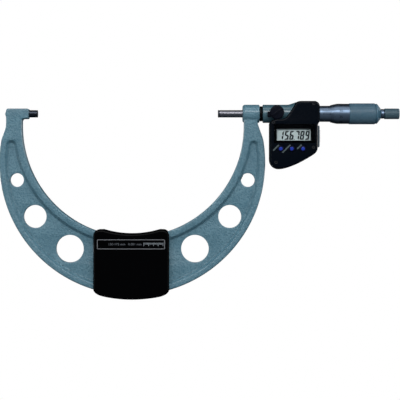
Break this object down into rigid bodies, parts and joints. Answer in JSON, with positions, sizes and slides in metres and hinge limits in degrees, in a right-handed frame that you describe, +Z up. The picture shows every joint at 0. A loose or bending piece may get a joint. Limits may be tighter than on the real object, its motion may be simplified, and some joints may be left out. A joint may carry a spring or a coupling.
{
  "type": "outside micrometer",
  "caption": "C-frame outside micrometer: fixed anvil, screw-driven spindle, graduated sleeve and thimble, ratchet, spindle lock and digital display unit.",
  "frame": {"origin": "centre of the anvil's measuring face, on the spindle's axis", "axes": "+X along the measuring axis from the anvil to the ratchet, +Z up out of the bow, the display faces -Y"},
  "size_m": [0.3471, 0.0262, 0.1716],
  "materials": {
    "frame_paint": "semi-gloss blue-grey hammertone paint with a fine wrinkle",
    "body_paint": "smooth semi-gloss blue-grey paint",
    "grip_paint": "satin blue-grey coating on the grip, end cap and ratchet",
    "black_plastic": "glossy moulded black plastic",
    "nameplate": "black plate with a thin silver border",
    "rubber": "matt black rubber",
    "steel": "ground steel",
    "carbide": "lapped grey carbide",
    "satin_chrome": "satin chrome with engraved black lines and numerals",
    "screws": "blackened steel",
    "brass": "machined brass",
    "window": "clear acrylic window with a dark frame",
    "display": "grey-green liquid crystal display",
    "circuit": "green circuit board",
    "blue_button": "blue moulded buttons",
    "grey_plastic": "ribbed grey plastic"
  },
  "bodies": {
    "frame": {"frame": "frame_paint", "anvil": "steel", "anvil_tip": "carbide", "heat_shield_front": "black_plastic", "heat_shield_rear": "black_plastic", "nameplate": "nameplate", "shield_screw_left": "screws", "shield_screw_right": "screws", "head_body": "body_paint", "head_collar": "rubber", "spindle_bush": "brass", "spindle_wiper": "rubber", "encoder_stator": "circuit", "display_cover": "black_plastic", "rear_cover": "black_plastic", "lcd_window": "window", "lcd_panel": "display", "circuit_board": "circuit", "cover_screw_upper_left": "screws", "cover_screw_lower_left": "screws", "cover_screw_lower_right": "screws", "cover_screw_upper_right": "screws", "battery": "steel", "battery_seal": "rubber", "battery_contact": "brass", "port_cap": "grey_plastic", "port_screw_upper": "screws", "port_screw_lower": "screws", "data_connector": "black_plastic", "inner_sleeve": "steel", "adjusting_nut": "brass", "graduated_sleeve": "satin_chrome"},
    "rotor": {"encoder_rotor": "circuit", "rotor_bush": "brass"},
    "spindle": {"spindle": "steel", "spindle_tip": "carbide", "thimble": "satin_chrome", "thimble_grip": "grip_paint", "thimble_cap": "grip_paint", "ratchet_screw": "steel", "ratchet_neck": "satin_chrome"},
    "ratchet": {"ratchet_knob": "grip_paint", "ratchet_pawl": "steel", "ratchet_spring": "steel"},
    "lock_knob": {"lock_knob": "black_plastic"},
    "lock_shoe": {"lock_shoe": "brass"},
    "hold_button": {"hold_button": "blue_button"},
    "zero_button": {"zero_button": "blue_button"},
    "origin_button": {"origin_button": "blue_button"},
    "battery_cap": {"battery_cap": "black_plastic"}
  },
  "joints": [
    {"name": "spindle_turn", "type": "hinge", "parent": "frame", "child": "rotor", "pos_m": [0.23, 0, 0], "axis": [1, 0, 0], "range_deg": [-4888.1, 13112]},
    {"name": "spindle_feed", "type": "slide", "parent": "rotor", "child": "spindle", "axis": [1, 0, 0], "range_m": [-0.00679, 0.01821]},
    {"name": "ratchet_turn", "type": "hinge", "parent": "spindle", "child": "ratchet", "pos_m": [0.308, 0, 0], "axis": [1, 0, 0], "continuous": true},
    {"name": "lock_turn", "type": "hinge", "parent": "frame", "child": "lock_knob", "pos_m": [0.2075, -0.0115, 0.0006], "axis": [0, 1, 0], "range_deg": [0, 75]},
    {"name": "lock_press", "type": "slide", "parent": "frame", "child": "lock_shoe", "axis": [0, 1, 0], "range_m": [0, 0.0003]},
    {"name": "hold_button_press", "type": "slide", "parent": "frame", "child": "hold_button", "axis": [0, 1, 0], "range_m": [0, 0.0006], "stiffness_N_per_m": 800, "springref_m": -0.0004},
    {"name": "zero_button_press", "type": "slide", "parent": "frame", "child": "zero_button", "axis": [0, 1, 0], "range_m": [0, 0.0006], "stiffness_N_per_m": 800, "springref_m": -0.0004},
    {"name": "origin_button_press", "type": "slide", "parent": "frame", "child": "origin_button", "axis": [0, 1, 0], "range_m": [0, 0.0006], "stiffness_N_per_m": 800, "springref_m": -0.0004},
    {"name": "battery_cap_turn", "type": "hinge", "parent": "frame", "child": "battery_cap", "pos_m": [0.222, 0.009, -0.026], "axis": [0, 1, 0], "range_deg": [0, 60]}
  ],
  "couplings": [
    {"joint": "spindle_turn", "follows": "spindle_feed", "rad_per_m": 12566},
    {"joint": "lock_turn", "follows": "lock_press", "rad_per_m": 4363.2}
  ]
}
